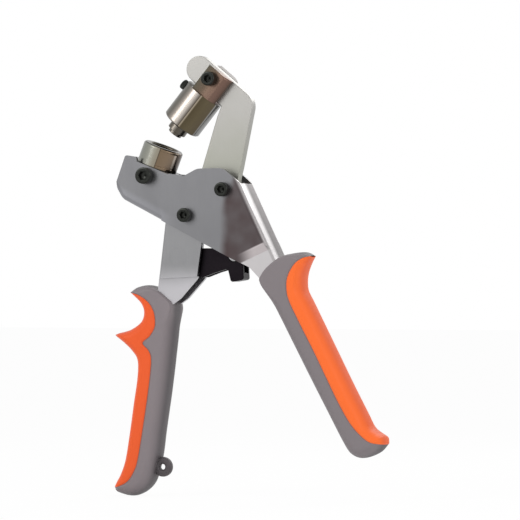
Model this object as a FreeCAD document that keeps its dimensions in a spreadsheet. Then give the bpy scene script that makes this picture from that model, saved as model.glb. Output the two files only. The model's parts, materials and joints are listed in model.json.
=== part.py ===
import FreeCAD, Part
import math
import os
import Sketcher

# Hand-held eyelet pliers with compound leverage, in millimetres.
# The frame has X to the right, Y to the back and Z up, as the pliers are seen from the front.
# Its origin is at the middle of the foot of the box round the tool.
# A folded steel channel makes the fixed jaw and the right-hand shank.
# The left-hand lever turns in the channel on its own screw and pushes the tail of the upper
# arm through a black link, so the upper die swings down on the lower one.

SIZES = {
    # the folded channel and what lies between its cheeks
    "body_length": 100.0,
    "body_width": 24.0,
    "bend_radius": 3.0,
    "corner_radius": 1.5,
    "heel_radius": 8.0,
    "dome_radius": 9.0,
    "saddle_radius": 4.0,
    "shank_step": 2.0,
    "ramp_length": 5.0,
    "side_gap": 0.2,
    "fit_gap": 0.05,
    "overrun": 20.0,
    # the pin that the linkage needs some play at
    "open_pivot_gap": 0.35,
    # screws
    "pivot_thread": 5.0,
    "pivot_head": 8.5,
    "pivot_head_height": 5.0,
    "pivot_hex": 4.0,
    "pivot_nut": 8.0,
    "pivot_nut_height": 3.0,
    "clamp_thread": 6.0,
    "clamp_head": 10.0,
    "clamp_head_height": 6.0,
    "clamp_hex": 5.0,
    "clamp_nut": 10.0,
    "clamp_nut_height": 3.2,
    "hex_depth": 2.8,
    "head_chamfer": 0.5,
    # sleeves, bushes and pins
    "sleeve_outside": 8.0,
    "lever_bush_outside": 11.0,
    "spring_gap": 0.7,
    "arm_bush_outside": 12.0,
    "rivet": 7.0,
    "rivet_head": 11.0,
    "rivet_head_height": 1.2,
    "rivet_overhang": 0.8,
    "link_spacer_outside": 11.0,
    # dies
    "die_radius": 12.3,
    "die_chamfer": 0.9,
    "lower_seat": 4.2,
    "seat_lip": 3.5,
    "lower_height": 13.2,
    "die_stem": 6.0,
    "die_stem_length": 11.0,
    "clamp_depth": 5.9,
    "cup_depth": 7.5,
    "die_gap": 1.2,
    "block_half": 12.0,
    "block_depth": 12.0,
    "upper_length": 24.1,
    "clevis_height": 17.5,
    "clevis_left": 5.6,
    "clevis_cut": 1.6,
    "slot_floor": 1.4,
    "cross_height": 11.0,
    "clevis_inset": 2.2,
    "flat_depth": 1.5,
    "flat_margin": 2.0,
    "punch_stem": 4.0,
    "punch_stem_length": 21.0,
    "punch_radius": 6.0,
    "punch_step": 5.0,
    "punch_nose_radius": 4.4,
    "punch_nose": 2.0,
    "set_thread": 3.5,
    "set_head": 6.2,
    "set_head_height": 3.0,
    "set_hex": 2.5,
    "set_hex_depth": 1.6,
    "set_drop": 4.2,
    # upper arm
    "arm_nose_radius": 8.0,
    "arm_nose_back": 11.7,
    "arm_corner_radius": 10.0,
    "arm_boss_radius": 6.6,
    "tail_boss_radius": 5.5,
    # lever
    "lever_head_radius": 9.5,
    "lever_step": 1.2,
    "lever_bend": 2.0,
    # link
    "link_gap": 0.2,
    "link_boss_radius": 6.0,
    # grips
    "grip_length": 125.0,
    "knuckle_radius": 5.0,
    "socket_gap": 0.05,
    "ring_radius": 6.0,
    "ring_hole_radius": 1.7,
    "ring_thickness": 5.0,
}

# Sizes that follow another one, each as its share. The pivots and the dies keep their places in
# the channel, and what lies between the cheeks keeps its share of the width.
TIES = {
    "lever_x": ("body_length", 0.241),
    "lever_z": ("body_length", 0.153),
    "drive_x": ("body_length", 0.061),
    "drive_z": ("body_length", 0.252),
    "tail_x": ("body_length", 0.045),
    "tail_z": ("body_length", 0.395),
    "die_offset": ("body_length", 0.495),
    "arm_length": ("body_length", 0.75),
    "lever_length": ("body_length", 0.45),
    "link_length": ("body_length", 0.35),
    "body_sheet": ("body_width", 0.104),
    "lever_sheet": ("body_width", 0.104),
    "spring_wire": ("body_width", 0.066),
    "spring_pitch": ("body_width", 0.091),
    "arm_thickness": ("body_width", 0.25),
    "link_sheet": ("body_width", 0.092),
    "right_grip_width": ("body_width", 1.0),
    "left_grip_width": ("body_width", 0.917),
    "cup_radius": ("die_radius", 0.69),
    "right_grip_edge": ("grip_length", 0.031),
    "left_grip_edge": ("grip_length", 0.0224),
    "tip_radius": ("grip_length", 0.024),
    "beak_radius": ("grip_length", 0.032),
    "curve_radius": ("grip_length", 0.072),
    "sweep_radius": ("grip_length", 0.2),
}

# The spring's turns, and where its front leg rests: a share of the web's run down the lever.
SPRING_TURNS = 5.0
SPRING_REST = 0.3

# Angles in degrees: the tilt of the lower die from upright, the swing of the arm to shut, the turn
# of the dies' flats from the right towards the front, and the slope of the ramps on the cheeks.
LOWER_TILT = 21.2
ARM_SWING = 18.4
UPPER_TILT = LOWER_TILT + ARM_SWING
FLAT_TURN = 49.0
RAMP_TURN = -24.1

# Outlines as shares of a length, in the X and Z of the tool, with the size that rounds a corner.
TOE_SHARES = [
    (-0.692, 0.051, None),
    (-0.69, 0.0, None),
    (-0.66, -0.052, "heel_radius"),
    (-0.4, -0.185, None),
    (-0.4, -0.05, None),
]
JAW_SHARES = [
    (-0.634, 0.211, "corner_radius"),
    (-0.692, 0.051, None),
    (-0.4, -0.05, None),
    (-0.4, -0.185, None),
    (0.102, -0.441, None),
    (0.292, -0.356, None),
    (0.103, 0.036, None),
    (0.0, 0.128, "dome_radius"),
    (-0.17, 0.126, "dome_radius"),
    (-0.256, 0.082, "saddle_radius"),
    (-0.306, 0.092, "corner_radius"),
]
JAW_RIM_SHARE = (-0.564, 0.2)
FLOOR_SHARES = [(-0.66, -0.052), (-0.4, -0.185)]
BACK_SHARES = [(0.103, 0.036), (0.292, -0.356)]
SHANK_SHARES = [
    (0.082, -0.431, None),
    (0.159, -0.467, None),
    (0.24, -0.55, None),
    (0.36, -0.66, None),
    (0.648, -1.17, None),
    (0.706, -1.137, None),
    (0.44, -0.63, None),
    (0.332, -0.44, None),
    (0.274, -0.319, None),
]
RAMP_SHARE = (0.102, -0.441)
LEVER_SHARES = [
    (-0.149, 0.149, None),
    (-0.329, -0.089, None),
    (-0.42, -0.849, None),
    (0.136, -0.822, None),
    (0.213, -0.287, None),
    (0.207, -0.044, None),
]
LEVER_WEB_SHARES = [(-0.329, -0.089), (-0.42, -0.849)]
TANG_SHARES = [
    (-0.411, -0.789, None),
    (-0.456, -1.171, None),
    (-0.647, -2.516, None),
    (-0.487, -2.549, None),
    (-0.27, -1.22, None),
    (-0.12, -1.116, "knuckle_radius"),
    (0.133, -0.84, "knuckle_radius"),
    (0.142, -0.767, None),
]
SETBACK_SHARES = [(0.089, -0.282), (0.016, -0.9), (0.3, -0.9), (0.3, -0.282)]
ARM_BACK_SHARES = [
    (0.217, 0.715, "arm_corner_radius"),
    (0.105, 0.173, None),
    (0.084, 0.091, None),
]
ARM_FRONT_SHARES = [
    (-0.107, -0.08, None),
    (-0.234, 0.156, "tip_radius"),
    (-0.098, 0.588, None),
]
LINK_SHARES = [
    (-0.023, 0.171, None),
    (0.34, 0.151, None),
    (0.551, 0.151, None),
    (1.006, 0.16, None),
    (1.143, 0.057, None),
    (1.163, -0.391, "corner_radius"),
    (0.929, -0.431, "corner_radius"),
    (0.871, -0.203, "corner_radius"),
    (0.649, -0.266, None),
    (0.417, -0.351, "tip_radius"),
    (0.234, -0.337, None),
    (-0.023, -0.171, None),
]
LINK_BRIDGE_SHARES = [(0.9, -0.3), (1.3, -0.25), (1.3, -0.6), (0.7, -0.6)]
RIGHT_MOUTH_SHARES = (0.3, -0.5)
RIGHT_SEAM_SHARES = [
    (0.165, 0.029, None),
    (0.131, 0.054, "beak_radius"),
    (0.098, 0.0, "curve_radius"),
    (0.094, -0.092, "sweep_radius"),
    (0.344, -0.592, "sweep_radius"),
    (0.437, -0.763, "curve_radius"),
    (0.496, -0.81, "curve_radius"),
    (0.554, -0.815, None),
]
RIGHT_CORE_SHARES = [
    (0.199, 0.079, "beak_radius"),
    (0.158, 0.108, "beak_radius"),
    (0.086, 0.098, "sweep_radius"),
    (0.011, 0.072, "curve_radius"),
    (-0.062, -0.021, "knuckle_radius"),
    (0.252, -0.536, "sweep_radius"),
    (0.405, -0.853, "curve_radius"),
    (0.448, -0.893, "beak_radius"),
    (0.509, -0.87, "curve_radius"),
]
RIGHT_PAD_SHARES = [
    (0.559, -0.792, "beak_radius"),
    (0.491, -0.741, "curve_radius"),
    (0.414, -0.629, "sweep_radius"),
    (0.149, -0.108, "sweep_radius"),
    (0.136, -0.028, "curve_radius"),
]
LEFT_MOUTH_SHARES = (-0.287, -0.993)
LEFT_SEAM_SHARES = [
    (-0.179, -0.042, None),
    (-0.105, -0.045, "tip_radius"),
    (-0.068, -0.088, "knuckle_radius"),
    (-0.06, -0.14, "curve_radius"),
    (-0.078, -0.196, "curve_radius"),
    (-0.122, -0.258, "knuckle_radius"),
    (-0.077, -0.317, "curve_radius"),
    (-0.076, -0.376, "sweep_radius"),
    (-0.118, -0.664, "sweep_radius"),
    (-0.145, -0.808, "sweep_radius"),
    (-0.168, -0.88, "curve_radius"),
    (-0.259, -0.97, None),
]
LEFT_CORE_SHARES = [
    (-0.2, -0.997, "curve_radius"),
    (-0.115, -0.973, "curve_radius"),
    (-0.075, -0.824, "sweep_radius"),
    (-0.011, -0.4, "sweep_radius"),
    (0.034, -0.051, "tip_radius"),
    (-0.013, -0.045, "curve_radius"),
    (-0.067, 0.021, "curve_radius"),
    (-0.152, 0.029, "knuckle_radius"),
    (-0.2, -0.007, "tip_radius"),
]
LEFT_PAD_SHARES = [
    (-0.129, -0.075, None),
    (-0.121, -0.152, "tip_radius"),
    (-0.166, -0.194, "curve_radius"),
    (-0.275, -0.208, "tip_radius"),
    (-0.257, -0.245, "tip_radius"),
    (-0.16, -0.327, "knuckle_radius"),
    (-0.155, -0.384, "sweep_radius"),
    (-0.175, -0.568, "sweep_radius"),
    (-0.224, -0.832, "curve_radius"),
    (-0.278, -0.936, "tip_radius"),
]
RING_SHARES = (-0.052, -0.859)

ROUNDINGS = ["corner_radius", "heel_radius", "dome_radius", "saddle_radius", "arm_corner_radius",
             "tip_radius", "beak_radius", "knuckle_radius", "curve_radius", "sweep_radius"]


class Length:
    """A sum of named sizes, each times a number: .value in mm, .text for the document."""

    def __init__(self, terms=None):
        self.terms = dict(terms or {})

    def __add__(self, other):
        terms = dict(self.terms)
        for name, factor in other.terms.items():
            terms[name] = terms.get(name, 0) + factor
        return Length(terms)

    def __mul__(self, factor):
        return Length({name: own * factor for name, own in self.terms.items()})

    def __neg__(self):
        return self * -1

    def __sub__(self, other):
        return self + other * -1

    @property
    def value(self):
        return sum(SIZES[name] * factor for name, factor in self.terms.items())

    @property
    def text(self):
        return " + ".join(f"{factor:.6f} * dims.{name}" for name, factor in self.terms.items()) or "0"


class Dims:
    """Dims().body_width is the size of that name as a Length, or the share of one that it follows."""

    def __getattr__(self, name):
        base, share = TIES.get(name, (name, 1))
        return Length({base: share})


d = Dims()
zero = Length()
doc = FreeCAD.newDocument("eyelet_pliers")
built = []


def make_sheet():
    sheet = doc.addObject("Spreadsheet::Sheet", "dims")
    for row, (name, value) in enumerate(SIZES.items(), 1):
        sheet.set(f"A{row}", name)
        sheet.set(f"B{row}", str(value))
        sheet.setAlias(f"B{row}", name)
    doc.recompute()


def share_points(shares, size, origin):
    """Corners of an outline, as shares of one size, counted from an origin."""
    return [(origin[0] + size * s[0], origin[1] + size * s[1]) for s in shares]


def share_radii(shares):
    return [s[2] for s in shares]


def new_body(name):
    body = doc.addObject("PartDesign::Body", name)
    body.Label = name
    return body


def new_sketch(body, role, name, depth=None):
    """A sketch on one of the body's own planes, moved along the plane's normal by depth."""
    plane = [f for f in body.Origin.OriginFeatures if f.Role == role][0]
    sketch = body.newObject("Sketcher::SketchObject", name)
    sketch.AttachmentSupport = [(plane, "")]
    sketch.MapMode = "FlatFace"
    if depth is not None:
        sketch.setExpression("AttachmentOffset.Base.z", depth.text)
    return sketch


def lean_sketch(sketch, turn, x, z):
    """Moves a sketch on the YZ plane to a point of the XZ plane and turns it about Y."""
    sketch.AttachmentOffset = FreeCAD.Placement(FreeCAD.Vector(0, 0, 0),
                                                FreeCAD.Rotation(FreeCAD.Vector(1, 0, 0), turn))
    sketch.setExpression("AttachmentOffset.Base.y", z.text)
    sketch.setExpression("AttachmentOffset.Base.z", x.text)


def pin_point(sketch, geometry, end, x, y):
    """Ties one point of a sketch to two lengths."""
    for kind, length in (("DistanceX", x), ("DistanceY", y)):
        index = sketch.addConstraint(Sketcher.Constraint(kind, geometry, end, length.value))
        sketch.setExpression(f"Constraints[{index}]", length.text)


def polygon(body, role, name, corners, depth=None):
    sketch = new_sketch(body, role, name, depth)
    spots = [FreeCAD.Vector(x.value, y.value, 0) for x, y in corners]
    count = len(spots)
    for i in range(count):
        sketch.addGeometry(Part.LineSegment(spots[i], spots[(i + 1) % count]), False)
    for i in range(count):
        sketch.addConstraint(Sketcher.Constraint("Coincident", i, 2, (i + 1) % count, 1))
    for i, (x, y) in enumerate(corners):
        pin_point(sketch, i, 1, x, y)
    return sketch


def circles(body, role, name, rounds, depth=None):
    """A sketch of circles, each given as x, y and radius."""
    sketch = new_sketch(body, role, name, depth)
    for x, y, radius in rounds:
        middle = FreeCAD.Vector(x.value, y.value, 0)
        index = sketch.addGeometry(Part.Circle(middle, FreeCAD.Vector(0, 0, 1), radius.value), False)
        pin_point(sketch, index, 3, x, y)
        bound = sketch.addConstraint(Sketcher.Constraint("Radius", index, radius.value))
        sketch.setExpression(f"Constraints[{bound}]", radius.text)
    return sketch


def hexagon(body, role, name, x, y, across, depth):
    """A sketch of a hexagon with two corners left and right, by its width across flats."""
    reach = across * (1 / math.sqrt(3))
    spots = []
    for k in range(6):
        turn = math.radians(60 * k)
        spots.append((x + reach * math.cos(turn), y + reach * math.sin(turn)))
    return polygon(body, role, name, spots, depth)


def pad(body, sketch, length, both=True, back=False):
    feature = body.newObject("PartDesign::Pad", sketch.Name + "_pad")
    feature.Profile = sketch
    feature.SideType = "Symmetric" if both else "One side"
    feature.Reversed = back
    feature.setExpression("Length", length.text)
    doc.recompute()
    return feature


def pocket(body, sketch, length, both=True, back=False):
    """Cuts a sketch out of the body and makes sure that it removed something."""
    before = body.Tip.Shape.Volume
    feature = body.newObject("PartDesign::Pocket", sketch.Name + "_cut")
    feature.Profile = sketch
    feature.SideType = "Symmetric" if both else "One side"
    feature.Reversed = back
    feature.setExpression("Length", length.text)
    doc.recompute()
    if not feature.Shape.Volume < before:
        raise ValueError(f"{body.Name}: {sketch.Name} cuts nothing")
    return feature


def revolve(body, sketch):
    feature = body.newObject("PartDesign::Revolution", sketch.Name + "_turned")
    feature.Profile = sketch
    feature.ReferenceAxis = (sketch, ["V_Axis"])
    feature.Angle = 360
    doc.recompute()
    return feature


def round_edges(body, names, size):
    """Rounds the named edges of the body's last feature by one named size."""
    if not names:
        raise ValueError(f"{body.Name}: no edge to round by {size}")
    base = body.Tip
    feature = body.newObject("PartDesign::Fillet", f"{body.Name}_{size}")
    feature.Base = (base, names)
    feature.setExpression("Radius", getattr(d, size).text)
    doc.recompute()
    if "Invalid" in feature.State:
        raise ValueError(f"{body.Name}: {size} can't be made on {names}")
    return feature


def edge_list(shape, wanted):
    """Names of the edges whose end points pass the test wanted."""
    names = []
    for number, edge in enumerate(shape.Edges, 1):
        ends = [vertex.Point for vertex in edge.Vertexes]
        if len(ends) == 2 and wanted(ends[0], ends[1]):
            names.append(f"Edge{number}")
    return names


def near(a, b):
    return abs(a - b) < 1e-4


def round_corners(body, corners, radii):
    """Rounds the upright corners of a padded outline, one feature for each named radius."""
    for size in ROUNDINGS:
        spots = [corner for corner, radius in zip(corners, radii) if radius == size]
        names = []
        for x, z in spots:
            names += edge_list(body.Tip.Shape, lambda a, b: near(a.x, b.x) and near(a.z, b.z)
                               and near(a.x, x.value) and near(a.z, z.value))
        if names:
            round_edges(body, names, size)


def round_along(body, start, end, half, size):
    """Rounds the two edges that run along the line from start to end at both sides."""
    ax, az, bx, bz = start[0].value, start[1].value, end[0].value, end[1].value
    run = math.hypot(bx - ax, bz - az)

    def off_line(p):
        return abs((p.x - ax) * (bz - az) - (p.z - az) * (bx - ax)) / run

    names = edge_list(body.Tip.Shape, lambda a, b: near(abs(a.y), half.value) and near(a.y, b.y)
                      and off_line(a) < 1e-3 and off_line(b) < 1e-3)
    round_edges(body, names, size)


def round_rim(body, seam, half, size):
    """Rounds the front and back rims of a grip, but not where it meets its other half."""
    def on_seam(p):
        for i in range(len(seam) - 1):
            ax, az = seam[i][0].value, seam[i][1].value
            bx, bz = seam[i + 1][0].value, seam[i + 1][1].value
            run = math.hypot(bx - ax, bz - az)
            along = ((p.x - ax) * (bx - ax) + (p.z - az) * (bz - az)) / run
            off = abs((p.x - ax) * (bz - az) - (p.z - az) * (bx - ax)) / run
            if off < 1e-3 and -1e-3 < along < run + 1e-3:
                return True
        return False

    names = edge_list(body.Tip.Shape, lambda a, b: near(abs(a.y), half.value) and near(a.y, b.y)
                      and not (on_seam(a) and on_seam(b)))
    round_edges(body, names, size)


def finish(body, x=zero, z=zero, tilt=0):
    """Places a body at a point of the tool, turned about Y by tilt, and lists it."""
    turn = FreeCAD.Rotation(FreeCAD.Vector(0, 1, 0), tilt)
    body.Placement = FreeCAD.Placement(FreeCAD.Vector(x.value, 0, z.value), turn)
    built.append(body)
    return body


# Places that several pieces share, from the pivot of the upper arm.
arm_pivot = (zero, zero)
lever_pivot = (-d.lever_x, -d.lever_z)
drive_pin = (-d.lever_x - d.drive_x, -d.lever_z - d.drive_z)
tail_pin = (d.tail_x, -d.tail_z)


def on_axis(tilt, along):
    """A point on a die's axis, counted from the point of it nearest to the arm's pivot."""
    lean, rise = math.sin(math.radians(tilt)), math.cos(math.radians(tilt))
    return (d.die_offset * -rise + along * lean, d.die_offset * lean + along * rise)


def beside_axis(tilt, along, aside):
    """A point beside a die's axis: aside is to the right, square to the axis."""
    lean, rise = math.sin(math.radians(tilt)), math.cos(math.radians(tilt))
    x, z = on_axis(tilt, along)
    return (x + aside * rise, z - aside * lean)


shoulder_along = d.die_gap + d.lower_height - d.lower_seat + d.upper_length
lower_die_place = on_axis(LOWER_TILT, -d.lower_seat)
upper_die_place = on_axis(UPPER_TILT, shoulder_along)
clamp_place = on_axis(LOWER_TILT, -d.lower_seat - d.clamp_depth)
cross_place = on_axis(UPPER_TILT, shoulder_along + d.cross_height)
nose_along = shoulder_along + d.slot_floor + d.arm_nose_radius
nose_place = beside_axis(UPPER_TILT, nose_along, -d.arm_nose_back)

body_half = d.body_width * 0.5
clevis_half = d.die_radius - d.clevis_inset
inner_width = d.body_width - d.body_sheet * 2
shank_width = d.body_width - d.shank_step * 2
lever_width = inner_width - d.side_gap * 2
tang_width = lever_width - d.lever_step * 2
link_inner = d.arm_thickness + d.link_gap * 2
link_width = link_inner + d.link_sheet * 2


def body_frame():
    body = new_body("body_frame")
    floor = share_points(FLOOR_SHARES, d.body_length, arm_pivot)
    back = share_points(BACK_SHARES, d.body_length, arm_pivot)
    toe = share_points(TOE_SHARES, d.body_length, arm_pivot)
    pad(body, polygon(body, "XZ_Plane", "toe", toe), d.body_width)
    round_corners(body, toe, share_radii(TOE_SHARES))
    round_along(body, floor[0], floor[1], body_half, "bend_radius")

    corners = share_points(JAW_SHARES, d.body_length, arm_pivot)
    seat_right = beside_axis(LOWER_TILT, -d.lower_seat, d.die_radius)
    seat_left = beside_axis(LOWER_TILT, -d.lower_seat, d.seat_lip - d.die_radius)
    rim = share_points([JAW_RIM_SHARE], d.body_length, arm_pivot)
    outline = corners + [seat_right, seat_left] + rim
    pad(body, polygon(body, "XZ_Plane", "jaw", outline), d.body_width)
    round_corners(body, corners, share_radii(JAW_SHARES))
    round_along(body, back[0], back[1], body_half, "bend_radius")

    # a ramp at the foot of each cheek leads down to the narrower shank
    for name, side in (("front_ramp", -1), ("rear_ramp", 1)):
        ramp = [
            ((body_half - d.shank_step * 1.2) * side, d.ramp_length * -0.2),
            ((body_half + d.shank_step * 0.5) * side, d.ramp_length * 1.25),
            ((body_half + d.shank_step * 0.5) * side, d.ramp_length * -0.2),
        ]
        sketch = polygon(body, "YZ_Plane", name, ramp)
        lean_sketch(sketch, RAMP_TURN, d.body_length * RAMP_SHARE[0], d.body_length * RAMP_SHARE[1])
        pocket(body, sketch, d.body_length)

    # the floor under the jaw and the back on the right stay, the rest between the cheeks goes
    floor_start = (floor[0][0] - d.overrun, floor[0][1] + d.overrun * 0.51 + d.body_sheet * 1.122)
    floor_end = (floor[1][0] + d.body_sheet * 0.46, floor[1][1] + d.body_sheet * 0.888)
    back_top = (back[0][0] - d.body_sheet * 0.901, back[0][1] - d.body_sheet * 0.434)
    back_foot = (back[1][0] - d.body_sheet * 0.69, back[1][1] - d.body_sheet * 0.901)
    space = [
        floor_start,
        floor_end,
        (floor[1][0] - d.body_sheet * 0.46, floor[1][1] - d.body_sheet * 0.888),
        (back[1][0] - d.overrun, back[1][1] - d.overrun),
        back_foot,
        back_top,
        (back[0][0] + d.body_sheet * 0.901, back[0][1] + d.body_sheet * 0.434),
        (back[0][0], back[0][1] + d.overrun),
        (floor_start[0], back[0][1] + d.overrun * 2),
    ]
    pocket(body, polygon(body, "XZ_Plane", "channel", space), inner_width)

    shank = share_points(SHANK_SHARES, d.body_length, arm_pivot)
    pad(body, polygon(body, "XZ_Plane", "shank", shank), shank_width)
    round_corners(body, shank, share_radii(SHANK_SHARES))
    hollow = [
        (shank[8][0] - d.body_sheet * 1.1, shank[8][1] + d.body_sheet * 0.6),
        (shank[7][0] - d.body_sheet, shank[7][1] - d.body_sheet * 0.5),
        (shank[6][0] - d.body_sheet, shank[6][1] - d.body_sheet * 0.5),
        (shank[5][0], shank[5][1] - d.body_sheet * 2),
        (shank[4][0] - d.body_sheet, shank[4][1] - d.body_sheet * 2),
        (shank[0][0] - d.overrun, shank[0][1] - d.body_sheet * 2),
        (shank[0][0] - d.overrun, shank[8][1] + d.body_sheet * 0.6),
    ]
    pocket(body, polygon(body, "XZ_Plane", "shank_channel", hollow), shank_width - d.body_sheet * 2)
    holes = [
        (clamp_place[0], clamp_place[1], d.clamp_thread * 0.5 + d.fit_gap),
        (lever_pivot[0], lever_pivot[1], d.pivot_thread * 0.5 + d.fit_gap),
        (arm_pivot[0], arm_pivot[1], d.pivot_thread * 0.5 + d.fit_gap),
    ]
    pocket(body, circles(body, "XZ_Plane", "screw_holes", holes), d.body_width)
    finish(body)


def die_block():
    body = new_body("die_block")
    corners = [(-d.block_half, zero), (d.block_half, zero), (d.block_half, -d.block_depth),
               (-d.block_half, -d.block_depth)]
    pad(body, polygon(body, "XZ_Plane", "block", corners), inner_width - d.fit_gap * 2)
    bore = circles(body, "XY_Plane", "stem_bore", [(zero, zero, d.die_stem + d.fit_gap)])
    pocket(body, bore, d.block_depth * 3)
    cross = circles(body, "XZ_Plane", "screw_bore",
                    [(zero, -d.clamp_depth, d.clamp_thread * 0.5 + d.fit_gap)])
    pocket(body, cross, inner_width)
    finish(body, lower_die_place[0], lower_die_place[1], LOWER_TILT)


def wrench_flat(body, top, length):
    """A flat on the front right of a die, cut from a height down over a length."""
    cos, sin = math.cos(math.radians(FLAT_TURN)), math.sin(math.radians(FLAT_TURN))
    near_side, far_side, half = d.die_radius - d.flat_depth, d.die_radius * 2, d.die_radius
    corners = [
        (near_side * cos + half * sin, -near_side * sin + half * cos),
        (near_side * cos - half * sin, -near_side * sin - half * cos),
        (far_side * cos - half * sin, -far_side * sin - half * cos),
        (far_side * cos + half * sin, -far_side * sin + half * cos),
    ]
    pocket(body, polygon(body, "XY_Plane", "wrench_flat", corners, top), length, both=False)


def lower_die():
    body = new_body("lower_die")
    profile = [
        (zero, -d.die_stem_length),
        (d.die_stem, -d.die_stem_length),
        (d.die_stem, zero),
        (d.die_radius, zero),
        (d.die_radius, d.lower_height - d.die_chamfer),
        (d.die_radius - d.die_chamfer, d.lower_height),
        (d.cup_radius + d.die_chamfer, d.lower_height),
        (d.cup_radius, d.lower_height - d.die_chamfer),
        (d.cup_radius, d.lower_height - d.cup_depth),
        (zero, d.lower_height - d.cup_depth),
    ]
    revolve(body, polygon(body, "XZ_Plane", "die_profile", profile))
    wrench_flat(body, d.lower_height - d.flat_margin, d.lower_height - d.flat_margin * 2)
    cross = circles(body, "XZ_Plane", "screw_bore",
                    [(zero, -d.clamp_depth, d.clamp_thread * 0.5 + d.fit_gap)])
    pocket(body, cross, inner_width)
    finish(body, lower_die_place[0], lower_die_place[1], LOWER_TILT)


def cap_screw(name, place, tilt, thread, head, head_height, across, hex_depth, seat, reach):
    """A socket cap screw along Y: its head rests at the depth seat and its end is at reach."""
    body = new_body(name)
    top = seat - head_height
    profile = [
        (zero, top),
        (head * 0.5 - d.head_chamfer, top),
        (head * 0.5, top + d.head_chamfer),
        (head * 0.5, seat),
        (thread * 0.5, seat),
        (thread * 0.5, reach - d.head_chamfer),
        (thread * 0.5 - d.head_chamfer, reach),
        (zero, reach),
    ]
    revolve(body, polygon(body, "XY_Plane", "profile_of_" + name, profile))
    pocket(body, hexagon(body, "XZ_Plane", "hex_of_" + name, zero, zero, across, -top), hex_depth,
           both=False)
    finish(body, place[0], place[1], tilt)


def nut(name, place, across, thread, height):
    """A hexagon nut against the back cheek."""
    body = new_body(name)
    back = body_half + height
    pad(body, hexagon(body, "XZ_Plane", "hex_of_" + name, zero, zero, across, -back), height,
        both=False)
    hole = circles(body, "XZ_Plane", "bore_of_" + name, [(zero, zero, thread * 0.5 + d.fit_gap)])
    pocket(body, hole, d.body_width * 2)
    finish(body, place[0], place[1])


def tube(name, place, outside, inside, length, middle=zero):
    """A tube along Y, with its middle at a depth from the plane of symmetry."""
    body = new_body(name)
    rings = [(zero, zero, outside * 0.5), (zero, zero, inside * 0.5)]
    sketch = circles(body, "XZ_Plane", "ring_of_" + name, rings, length * 0.5 - middle)
    pad(body, sketch, length, both=False, back=True)
    finish(body, place[0], place[1])


def upper_arm():
    body = new_body("upper_arm")
    lean, rise = math.sin(math.radians(UPPER_TILT)), math.cos(math.radians(UPPER_TILT))
    top_nose = (nose_place[0] + d.arm_nose_radius * lean, nose_place[1] + d.arm_nose_radius * rise)
    low_nose = (nose_place[0] - d.arm_nose_radius * lean, nose_place[1] - d.arm_nose_radius * rise)
    back = share_points(ARM_BACK_SHARES, d.arm_length, arm_pivot)
    front = share_points(ARM_FRONT_SHARES, d.arm_length, arm_pivot)
    heel = beside_axis(UPPER_TILT, shoulder_along + d.slot_floor, d.die_radius + d.slot_floor)
    outline = [top_nose] + back + [
        (d.arm_boss_radius * 0.9, -d.arm_boss_radius * 0.35),
        (tail_pin[0] + d.tail_boss_radius, tail_pin[1]),
        (tail_pin[0] - d.tail_boss_radius, tail_pin[1]),
    ] + front + [heel, low_nose]
    pad(body, polygon(body, "XZ_Plane", "arm_outline", outline), d.arm_thickness)
    round_corners(body, back + front, share_radii(ARM_BACK_SHARES + ARM_FRONT_SHARES))
    for name, place, radius in (("nose", nose_place, d.arm_nose_radius),
                                ("pivot_boss", arm_pivot, d.arm_boss_radius),
                                ("tail_boss", tail_pin, d.tail_boss_radius)):
        pad(body, circles(body, "XZ_Plane", name, [(place[0], place[1], radius)]), d.arm_thickness)
    holes = [
        (zero, zero, d.arm_bush_outside * 0.5 - d.body_sheet * 0.4),
        (tail_pin[0], tail_pin[1], d.rivet * 0.5 + d.fit_gap * 0.4),
        (cross_place[0], cross_place[1], d.pivot_thread * 0.5 + d.fit_gap),
    ]
    pocket(body, circles(body, "XZ_Plane", "arm_holes", holes), d.body_width)
    finish(body)


def upper_die():
    body = new_body("upper_die")
    profile = [
        (zero, -d.upper_length),
        (d.die_radius - d.die_chamfer, -d.upper_length),
        (d.die_radius, d.die_chamfer - d.upper_length),
        (d.die_radius, d.clevis_height - d.die_chamfer),
        (d.die_radius - d.die_chamfer, d.clevis_height),
        (zero, d.clevis_height),
    ]
    revolve(body, polygon(body, "XZ_Plane", "die_profile", profile))
    for name, edge, side in (("left_shoulder", d.clevis_left, -1),
                             ("right_shoulder", d.die_radius - d.clevis_cut, 1)):
        cheek = [
            (edge * side, zero),
            (d.die_radius * 2 * side, zero),
            (d.die_radius * 2 * side, d.clevis_height * 2),
            (edge * side, d.clevis_height * 2),
        ]
        pocket(body, polygon(body, "XZ_Plane", name, cheek), d.body_width * 2)
    slot = [(-d.die_radius, d.slot_floor), (d.die_radius, d.slot_floor),
            (d.die_radius, d.clevis_height * 2), (-d.die_radius, d.clevis_height * 2)]
    pocket(body, polygon(body, "XZ_Plane", "arm_slot", slot), d.arm_thickness + d.fit_gap * 2)
    wrench_flat(body, zero, d.upper_length * 2)
    cross = circles(body, "XZ_Plane", "cross_bore",
                    [(zero, d.cross_height, d.pivot_thread * 0.5 + d.fit_gap)])
    pocket(body, cross, d.body_width * 2)
    face = [(-d.die_radius * 2, zero), (d.die_radius * 2, zero),
            (d.die_radius * 2, d.clevis_height * 2), (-d.die_radius * 2, d.clevis_height * 2)]
    pocket(body, polygon(body, "XZ_Plane", "front_face", face, clevis_half), d.die_radius,
           both=False, back=True)
    pocket(body, polygon(body, "XZ_Plane", "rear_face", face, -clevis_half), d.die_radius,
           both=False)
    stem = circles(body, "XY_Plane", "punch_bore", [(zero, zero, d.punch_stem + d.fit_gap)],
                   d.punch_stem_length - d.upper_length + d.fit_gap)
    pocket(body, stem, d.upper_length, both=False)
    grub = circles(body, "YZ_Plane", "set_screw_bore",
                   [(zero, -d.set_drop, d.set_thread * 0.5 + d.fit_gap)], -d.punch_stem)
    pocket(body, grub, d.die_radius, both=False)
    finish(body, upper_die_place[0], upper_die_place[1], UPPER_TILT)


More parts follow.
